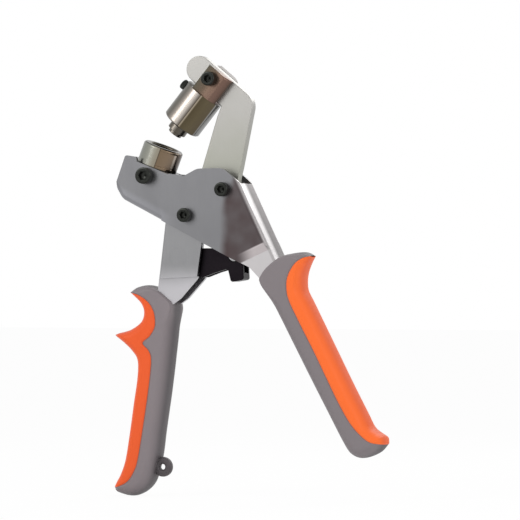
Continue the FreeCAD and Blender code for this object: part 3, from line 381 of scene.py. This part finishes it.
# die colours: bands, flat and head are painted reflections and highlights, rimShadeTone is painted shade
lowerLook = {
    "tilt": 21.2, "at": (-47.67, 13.98), "ends": (0.0, 13.2, 0.75), "rimShade": 0.8,
    "rimShadeTone": (0.03, 0.028, 0.022),
    "reflectionBands": [(0.0, (0.16, 0.14, 0.11)), (0.28, (0.06, 0.065, 0.05)), (0.335, (0.16, 0.17, 0.15)),
              (0.40, (0.24, 0.245, 0.215)), (0.47, (0.30, 0.30, 0.26)), (0.525, (0.30, 0.27, 0.21)),
              (0.69, (0.44, 0.36, 0.28)), (0.715, (0.09, 0.07, 0.06)), (0.80, (0.075, 0.065, 0.06)),
              (1.0, (0.16, 0.14, 0.11))],
    "flat": [(0.0, (0.05, 0.04, 0.03)), (0.07, (0.19, 0.135, 0.085)), (0.5, (0.21, 0.15, 0.1)),
             (0.85, (0.20, 0.15, 0.11)), (0.93, (0.5, 0.44, 0.38)), (1.0, (0.3, 0.24, 0.2))],
}
upperLook = {
    "tilt": 39.6, "at": (-16.28, 57.98), "ends": (-24.1, 40.0, 0.75), "rimShade": 0.7,
    "rimShadeTone": (0.08, 0.07, 0.055),
    "reflectionBands": [(0.0, (0.14, 0.13, 0.11)), (0.28, (0.08, 0.08, 0.07)), (0.335, (0.12, 0.115, 0.1)),
              (0.40, (0.14, 0.13, 0.115)), (0.455, (0.36, 0.32, 0.285)), (0.505, (0.46, 0.42, 0.38)),
              (0.53, (0.10, 0.08, 0.06)), (0.70, (0.22, 0.22, 0.215)), (0.80, (0.2, 0.2, 0.2)),
              (1.0, (0.14, 0.13, 0.11))],
    "flat": [(0.0, (0.42, 0.36, 0.28)), (0.06, (0.30, 0.25, 0.18)), (0.1, (0.085, 0.066, 0.036)),
             (0.5, (0.11, 0.088, 0.05)), (0.93, (0.10, 0.08, 0.05)), (0.97, (0.26, 0.25, 0.24)),
             (1.0, (0.26, 0.26, 0.255))],
    "head": [(0.0, (0.08, 0.075, 0.055)), (0.35, (0.12, 0.085, 0.06)), (0.5, (0.2, 0.13, 0.095)),
             (0.8, (0.17, 0.1, 0.078)), (0.95, (0.11, 0.07, 0.055)), (1.0, (0.11, 0.07, 0.055))],
    "rear": (0.06, 0.045, 0.038),
}
finishes = {
    "body_steel": bodySteel(),
    "lever": leverSteel(),
    "arm_steel": armSteel(),
    "block_steel": plainMetal("blockSteel", (0.16, 0.16, 0.165), (0.26, 0.26, 0.27), 0.36),
    "lowerDie": dieNickel("lowerDieNickel", lowerLook),
    "die_nickel": dieNickel("upperDieNickel", upperLook),
    "black_steel": plainMetal("blackOxide", (0.014, 0.015, 0.013), (0.045, 0.047, 0.043), 0.24),
    "linkBlack": plainMetal("linkBlack", (0.006, 0.005, 0.007), (0.022, 0.018, 0.021), 0.3),
    "pin_steel": plainMetal("pinSteel", (0.34, 0.34, 0.35), (0.5, 0.5, 0.5), 0.24),
    "bush_bronze": plainMetal("bushBronze", (0.36, 0.22, 0.09), (0.52, 0.36, 0.16), 0.34),
    "spring_steel": plainMetal("springSteel", (0.1, 0.1, 0.105), (0.17, 0.17, 0.18), 0.3),
    "grip_grey": moulded("gripGrey", gripLook["grey"]),
    "grip_orange": moulded("gripOrange", gripLook["orange"]),
}
for node, holder in frame["nodes"].items():
    for i in range(max(1, len(holder.data.materials))):
        if i < len(holder.data.materials):
            holder.material_slots[i].material = finishes[slotOfNode[node]]
        else:
            holder.data.materials.append(finishes[slotOfNode[node]])
print("finishes made:", len(finishes))


# making pieces

def makePiece(name, mesh, node, finish=None, smoothAngle=35.0):
    mesh.materials.clear()
    mesh.materials.append(finishes[finish or slotOfNode[node]])
    mesh.shade_smooth()
    mesh.set_sharp_from_angle(angle=math.radians(smoothAngle))
    piece = bpy.data.objects.new(name, mesh)
    scene.collection.objects.link(piece)
    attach(piece, bodyOfNode[node])
    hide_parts(node)
    return piece


def gridMesh(name, shells):
    # each shell is a grid of points, rows by columns, closed along its columns
    verts, faces, start = [], [], 0
    for grid in shells:
        rows, columns = grid.shape[:2]
        number = start + np.arange(rows * columns).reshape(rows, columns)
        here, nextColumn = number[:-1], np.roll(number, -1, axis=1)[:-1]
        above, nextAbove = number[1:], np.roll(number, -1, axis=1)[1:]
        faces.append(np.stack([here, nextColumn, nextAbove, above], -1).reshape(-1, 4))
        verts.append(inFrame(grid.reshape(-1, 3)))
        start += rows * columns
    mesh = bpy.data.meshes.new(name)
    mesh.from_pydata(np.concatenate(verts).tolist(), [], np.concatenate(faces).tolist())
    work = bmesh.new()
    work.from_mesh(mesh)
    bmesh.ops.remove_doubles(work, verts=work.verts, dist=2e-6)
    bmesh.ops.recalc_face_normals(work, faces=work.faces)
    work.to_mesh(mesh)
    work.free()
    return mesh


def middleOf(node):
    # the middle of a node's box, in tool millimetres, in the plane of symmetry
    low, high = (np.array(corner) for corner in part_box(node))
    spot = ((low + high) / 2 - armPivot) / mm
    return np.array((spot[0], 0.0, spot[2]))


def softened(node, name, width, finish=None, plain=(), even=False):
    # the node's own shape with its outward edges broken by a small bevel, but not within a reach in
    # millimetres of the middle of each node in plain. An even bevel takes one width over the whole
    # piece, as small as its shortest edges allow
    mesh = frame["nodes"][node].data.copy()
    work = bmesh.new()
    work.from_mesh(mesh)
    bmesh.ops.remove_doubles(work, verts=work.verts, dist=1e-6)
    bmesh.ops.dissolve_limit(work, angle_limit=math.radians(0.3), verts=work.verts, edges=work.edges)
    weight = work.edges.layers.float.new("bevel_weight_edge")
    kept = [(middleOf(other)[[0, 2]], reach) for other, reach in plain]
    for edge in work.edges:
        ends = [(np.array(vert.co) - armPivot)[[0, 2]] / mm for vert in edge.verts]
        far = all(np.linalg.norm(end - middle) > reach for end in ends for middle, reach in kept)
        sharp = len(edge.link_faces) == 2 and edge.calc_face_angle_signed(0.0) > math.radians(32)
        edge[weight] = 1.0 if far and sharp else 0.0
    work.to_mesh(mesh)
    work.free()
    piece = makePiece(name, mesh, node, finish)
    bevel = piece.modifiers.new("brokenEdges", "BEVEL")
    bevel.width, bevel.segments = width * mm, 3
    bevel.limit_method, bevel.use_clamp_overlap = "WEIGHT", even
    normals = piece.modifiers.new("evenNormals", "WEIGHTED_NORMAL")
    normals.mode = "FACE_AREA_WITH_ANGLE" if even else "FACE_AREA"
    normals.weight, normals.keep_sharp = 50, True
    return piece


sheetMetal = {
    "body_frame": ("foldedBody", 0.35, None, (), True),
    "upper_arm": ("swingArm", 0.45, None),
    "lever_frame": ("foldedLever", 0.35, "lever", (("lever_link_rivet", 6.5),), True),
    "toggle_link": ("blackLink", 0.35, "linkBlack"), "lower_die": ("cupDie", 0.18, "lowerDie"),
    "upper_die": ("slantDie", 0.18, None), "punch_tip": ("punchTip", 0.25, None),
    "die_block": ("dieBlock", 0.4, None), "lever_link_rivet": ("driveRivet", 0.02, "lever"),
    "tail_rivet": ("tailRivet", 0.25, None),
}
for node, look in sheetMetal.items():
    softened(node, *look)
print("sheet metal and dies softened:", len(sheetMetal))


# screws and nuts: a profile turned round an axis, with a hexagon or a knurl where it needs one

def turned(profile, columns, middle, right, up, out):
    # each profile row is radius, depth, share of hexagon, depth of knurl. The radius at an angle is
    # the row's, made a hexagon's by its share, less a fine rounded tooth by its knurl
    angle = np.arange(columns) * 2 * np.pi / columns
    radius, depth, hexShare, knurl = [column[:, None] for column in np.array(profile, float).T]
    hexagon = np.cos(np.pi / 6) / np.cos((angle % (np.pi / 3)) - np.pi / 6)
    teeth = 0.5 - 0.5 * np.cos(angle * (columns // 4))
    reach = radius * (1 + hexShare * (hexagon[None] - 1)) - knurl * teeth[None]
    middle, right, up, out = (np.array(v, float) for v in (middle, right, up, out))
    return (middle + reach[..., None] * (np.cos(angle)[None, :, None] * right
                                         + np.sin(angle)[None, :, None] * up)
            + (depth * np.ones_like(reach))[..., None] * out)


def capScrewProfile(head, height, thread, hexWidth, hexDepth, seat, reach):
    # from the middle of the socket's floor, over the head, down the shank; depth counts inward
    top, hexReach = seat - height, hexWidth / math.sqrt(3)
    return [(0, top + hexDepth + 0.5, 0, 0), (hexReach * 0.55, top + hexDepth, 0, 0),
            (hexReach, top + hexDepth, 1, 0), (hexReach, top + 0.35, 1, 0),
            (hexReach + 0.25, top + 0.02, 0.25, 0), (head / 2 - 0.85, top, 0, 0),
            (head / 2 - 0.35, top + 0.12, 0, 0), (head / 2 - 0.05, top + 0.5, 0, 0),
            (head / 2, top + 0.62, 0, 0.14), (head / 2, seat - 0.6, 0, 0.14),
            (head / 2 - 0.05, seat - 0.5, 0, 0), (head / 2 - 0.15, seat, 0, 0),
            (thread / 2, seat, 0, 0), (thread / 2, reach - 0.6, 0, 0),
            (thread / 2 - 0.6, reach, 0, 0), (0, reach, 0, 0)]


def sharpened(profile):
    # rows close to each profile corner, so that smooth shading keeps the corner crisp
    rows = np.array(profile, float)
    out = [rows[0]]
    for a, b in zip(rows[:-1], rows[1:]):
        out += [a + (b - a) * 0.04, a + (b - a) * 0.96, b]
    return out


cheek = 12.0  # from the plane of symmetry to a cheek's outside
screws = {
    "clamp_screw": {"head": 10.0, "height": 6.0, "thread": 6.0, "hex": 5.0},
    "lever_pivot_screw": {"head": 8.5, "height": 5.0, "thread": 5.0, "hex": 4.0},
    "arm_pivot_screw": {"head": 8.5, "height": 5.0, "thread": 5.0, "hex": 4.0},
}
nuts = {
    "clamp_nut": {"height": 3.2, "across": 10.0, "bore": 6.1},
    "lever_pivot_nut": {"height": 3.0, "across": 8.0, "bore": 5.1},
    "arm_pivot_nut": {"height": 3.0, "across": 8.0, "bore": 5.1},
}
for node, size in screws.items():
    nut = node.replace("screw", "nut")
    height, across, bore = (nuts[nut][key] for key in ("height", "across", "bore"))
    middle = middleOf(node)
    profile = capScrewProfile(size["head"], size["height"], size["thread"], size["hex"], 2.8, -cheek,
                              cheek + height)
    grid = turned(sharpened(profile), 144, middle, (1, 0, 0), (0, 0, 1), (0, 1, 0))
    makePiece(node.replace("_s", "S").replace("_p", "P"), gridMesh(node, [grid]), node, None, 30.0)
    reach = across / math.sqrt(3)
    profile = [(bore / 2, cheek, 0, 0), (across / 2 * 1.02, cheek, 0, 0), (reach, cheek + 0.45, 1, 0),
               (reach, cheek + height - 0.45, 1, 0), (across / 2 * 0.97, cheek + height, 0, 0),
               (bore / 2 + 0.3, cheek + height, 0, 0), (bore / 2, cheek + height - 0.3, 0, 0),
               (bore / 2, cheek, 0, 0)]
    grid = turned(profile, 144, middle, (1, 0, 0), (0, 0, 1), (0, 1, 0))
    makePiece(nut.replace("_n", "N").replace("_p", "P"), gridMesh(nut, [grid]), nut, None, 30.0)

# the upper die's two screws: one through clevis and arm, one from the left on to the punch's stem
crossScrew = {"at": (-9.27, 0.0, 66.45), "head": 8.5, "height": 5.0, "thread": 5.0, "hex": 4.0,
              "socket": 2.8, "seat": -10.1, "end": 10.1}
setScrew = {"drop": 4.2, "head": 6.2, "height": 3.0, "thread": 3.5, "hex": 2.5,
            "socket": 1.6, "seat": -12.3, "end": -4.05}
dieTilt = math.radians(upperLook["tilt"])
dieRight = (math.cos(dieTilt), 0.0, -math.sin(dieTilt))
dieUp = (math.sin(dieTilt), 0.0, math.cos(dieTilt))
dieShoulder = np.array((upperLook["at"][0], 0.0, upperLook["at"][1]))
parts = ("head", "height", "thread", "hex", "socket", "seat", "end")
profile = capScrewProfile(*(crossScrew[key] for key in parts))
grid = turned(sharpened(profile), 144, crossScrew["at"], dieRight, dieUp, (0, 1, 0))
makePiece("dieCrossScrew", gridMesh("dieCrossScrew", [grid]), "die_cross_screw", None, 30.0)
profile = capScrewProfile(*(setScrew[key] for key in parts))
setAt = dieShoulder - np.array(dieUp) * setScrew["drop"]
grid = turned(sharpened(profile), 144, setAt, (0, 1, 0), dieUp, dieRight)
makePiece("punchSetScrew", gridMesh("punchSetScrew", [grid]), "punch_set_screw", None, 30.0)
print("screws and nuts turned")


# grips: three curves each, from the upper tip to the foot, with a shell between each pair

rightGrip = {
    "half": 12.0, "rim": 6.5, "mouth": (30.0, -48.0), "padRise": 0.25,
    "outer": [(52.8, -39.6), (48.9, -37.7), (42.4, -38.1), (35.5, -39.9), (28.4, -44.7), (23.3, -50.5),
              (22.3, -56.5), (31.0, -71.5), (42.3, -92.7), (53.8, -114.3), (64.2, -133.5), (74.6, -152.4),
              (79.6, -158.4), (86.0, -160.0), (94.6, -156.8), (99.4, -151.8)],
    "seam": [(52.9, -40.0), (49.4, -41.3), (45.4, -44.5), (42.5, -48.5), (40.5, -53.5), (40.2, -59.5),
             (41.8, -66.5), (48.3, -79.5), (57.3, -96.3), (66.4, -114.3), (73.9, -128.7), (80.6, -139.5),
             (87.0, -146.4), (92.5, -150.2), (99.4, -151.8)],
    "edge": [(53.0, -40.4), (51.1, -43.6), (49.4, -47.1), (48.2, -50.5), (47.7, -54.7), (48.5, -60.3),
             (51.7, -66.5), (57.6, -78.0), (66.1, -94.5), (74.7, -111.3), (80.8, -122.9), (86.7, -133.9),
             (90.6, -141.2), (94.8, -144.6), (98.8, -147.4), (99.5, -151.4)],
}
leftGrip = {
    "half": 11.0, "rim": 6.0, "mouth": (-35.0, -62.0), "padRise": 0.25,
    "outer": [(-62.9, -61.4), (-58.4, -58.6), (-51.4, -57.6), (-44.0, -60.2), (-37.2, -65.2), (-34.2, -68.5),
              (-33.9, -75.3), (-34.5, -83.7), (-35.4, -92.1), (-36.3, -99.3), (-37.3, -107.7),
              (-39.4, -123.3), (-42.7, -144.9), (-45.2, -162.3), (-50.0, -177.6), (-60.0, -184.8),
              (-70.6, -183.4), (-73.4, -180.2)],
    "seam": [(-62.9, -61.9), (-56.0, -63.4), (-49.8, -67.2), (-46.3, -72.0), (-44.9, -76.8), (-45.0, -82.8),
             (-48.2, -88.2), (-52.8, -92.4), (-49.2, -96.6), (-47.4, -100.8), (-47.6, -108.6),
             (-49.4, -123.0), (-52.6, -143.4), (-55.6, -160.8), (-57.8, -168.6), (-62.4, -175.8),
             (-68.6, -179.2), (-73.4, -180.0)],
    "edge": [(-63.0, -62.4), (-59.8, -65.1), (-55.6, -69.3), (-54.1, -74.1), (-56.0, -79.5), (-63.2, -84.4),
             (-71.9, -86.9), (-72.6, -88.4), (-66.6, -93.1), (-61.4, -98.1), (-58.3, -103.5),
             (-58.5, -113.7), (-60.7, -128.1), (-63.5, -147.3), (-66.2, -162.9), (-69.2, -171.5),
             (-72.0, -176.6), (-73.5, -179.8)],
    "ringAt": (-43.5, -167.4), "ringHole": 1.7, "ringOutside": 6.0, "ringHalf": 2.5,
}


def throughPoints(points, count):
    # a smooth curve through the points: on each span, the cubic whose slope at a point is half the
    # step between its two neighbours
    points = np.array(points, float)
    padded = np.concatenate([2 * points[:1] - points[1:2], points, 2 * points[-1:] - points[-2:-1]])
    share = np.linspace(0, len(points) - 1, count)
    span = np.minimum(share.astype(int), len(points) - 2)
    t = (share - span)[:, None]
    a, b, c, e = padded[span], padded[span + 1], padded[span + 2], padded[span + 3]
    return 0.5 * (2 * b + (c - a) * t + (2 * a - 5 * b + 4 * c - e) * t ** 2
                  + (3 * b - a - 3 * c + e) * t ** 3)


def lineDistance(spots, line):
    # the distance from each spot to the nearest point of a line of many short runs
    start, run = line[:-1], line[1:] - line[:-1]
    toSpot = spots[:, None] - start[None]
    share = np.clip((toSpot * run).sum(-1) / np.maximum((run ** 2).sum(-1), 1e-12), 0, 1)
    return np.sqrt(((toSpot - share[..., None] * run) ** 2).sum(-1)).min(1)


def gripShell(grip, outerName, rows=220, columns=30):
    # between an outer curve and the seam, each point is a blend of the two; its half thickness rises
    # from nothing at the grip's outline as a rounded rim, and dips a little at the seam
    outer, seam = (throughPoints(grip[name], rows) for name in (outerName, "seam"))
    outline = np.concatenate([throughPoints(grip["outer"], rows), throughPoints(grip["edge"], rows)[::-1]])
    share = (0.5 - 0.5 * np.cos(np.linspace(0, np.pi, columns)))[None, :, None]
    flat = outer[:, None] * (1 - share) + seam[:, None] * share
    spots = flat.reshape(-1, 2)
    depth = lineDistance(spots, outline)
    nearMouth = np.sqrt(((spots - np.array(grip["mouth"])) ** 2).sum(-1))
    soft = np.clip((nearMouth - 9) / 14, 0, 1)
    rim = grip["rim"] * (0.22 + 0.78 * soft * soft * (3 - 2 * soft))
    fall = 1 - np.clip(depth / rim, 0, 1)
    height = (1 - fall ** 2.3) ** (1 / 2.3)
    groove = 0.55 * np.exp(-(lineDistance(spots, seam) / 0.6) ** 2)
    rise = grip["padRise"] if outerName == "edge" else 0.0
    half = np.maximum(height * (grip["half"] + rise) - groove * height, 0).reshape(rows, columns)
    front = np.stack([flat[..., 0], -half, flat[..., 1]], -1)
    rear = np.stack([flat[..., 0], half, flat[..., 1]], -1)
    return np.concatenate([front, rear[:, ::-1]], axis=1)


def ringShell(grip, around=64, section=24):
    # a ring: round the hole by one angle, and by the other round a section that is a rounded square
    turnAngle = np.linspace(0, 2 * np.pi, around + 1)[:, None]
    angle = (np.arange(section) * 2 * np.pi / section)[None]
    middle = (grip["ringOutside"] + grip["ringHole"]) / 2
    width = (grip["ringOutside"] - grip["ringHole"]) / 2
    square = (np.abs(np.cos(angle)) ** 3 + np.abs(np.sin(angle)) ** 3) ** (-1 / 3)
    reach = middle + width * square * np.cos(angle) + 0 * turnAngle
    depth = grip["ringHalf"] * square * np.sin(angle) + 0 * turnAngle
    x, z = grip["ringAt"]
    return np.stack([x + reach * np.cos(turnAngle), depth, z + reach * np.sin(turnAngle)], -1)


for side, grip in (("right", rightGrip), ("left", leftGrip)):
    shells = [gripShell(grip, "outer")]
    if "ringAt" in grip:
        shells.append(ringShell(grip))
    makePiece(side + "GripCore", gridMesh(side + "GripCore", shells), side + "_grip_core", None, 50.0)
    makePiece(side + "GripPad", gridMesh(side + "GripPad", [gripShell(grip, "edge")]),
              side + "_grip_pad", None, 50.0)
print("grips moulded")
